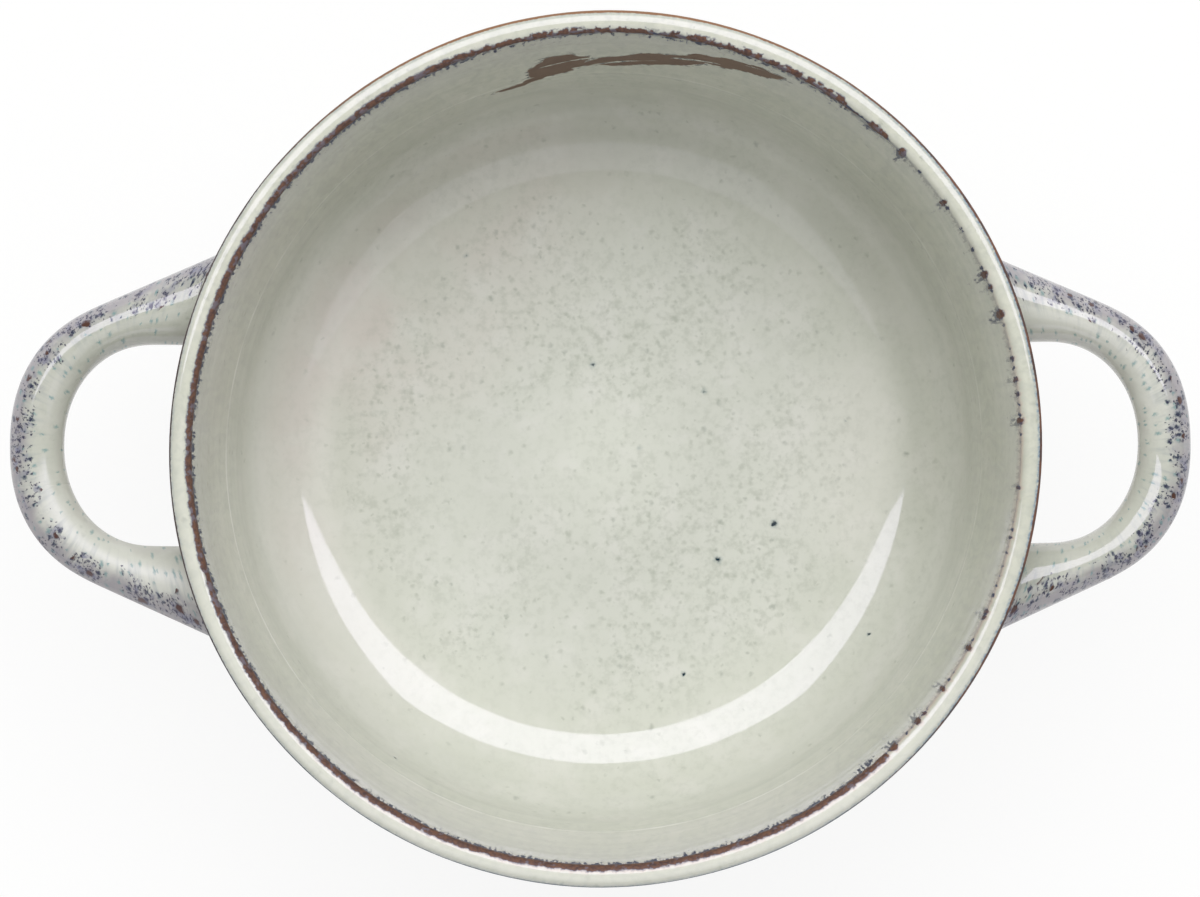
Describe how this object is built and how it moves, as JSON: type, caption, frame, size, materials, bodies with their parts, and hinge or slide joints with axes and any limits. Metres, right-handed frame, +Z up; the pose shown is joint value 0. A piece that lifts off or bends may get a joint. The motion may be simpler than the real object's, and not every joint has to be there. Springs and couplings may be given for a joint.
{
  "type": "handled soup bowl",
  "caption": "Round glazed stoneware bowl with a steep wall, a flat lip, a turned foot ring and a level loop handle luted on each side, for serving soup and baked dishes.",
  "frame": {"origin": "on the table, under the middle of the foot ring", "axes": "+X towards the right handle, +Y towards the back, +Z up along the bowl's axis"},
  "size_m": [0.2052, 0.15, 0.065],
  "materials": {
    "glazed_stoneware": "gloss pale grey-green reactive glaze, breaking to brown on the edges, with fine blue-green specks; bare clay under the foot ring",
    "glazed_slip": "the same glaze run thin over the joints, greyer and more speckled"
  },
  "bodies": {
    "root": {"bowl_body": "glazed_stoneware", "handle_left": "glazed_stoneware", "handle_right": "glazed_stoneware", "slip_left_front": "glazed_slip", "slip_left_back": "glazed_slip", "slip_right_front": "glazed_slip", "slip_right_back": "glazed_slip"}
  },
  "joints": []
}
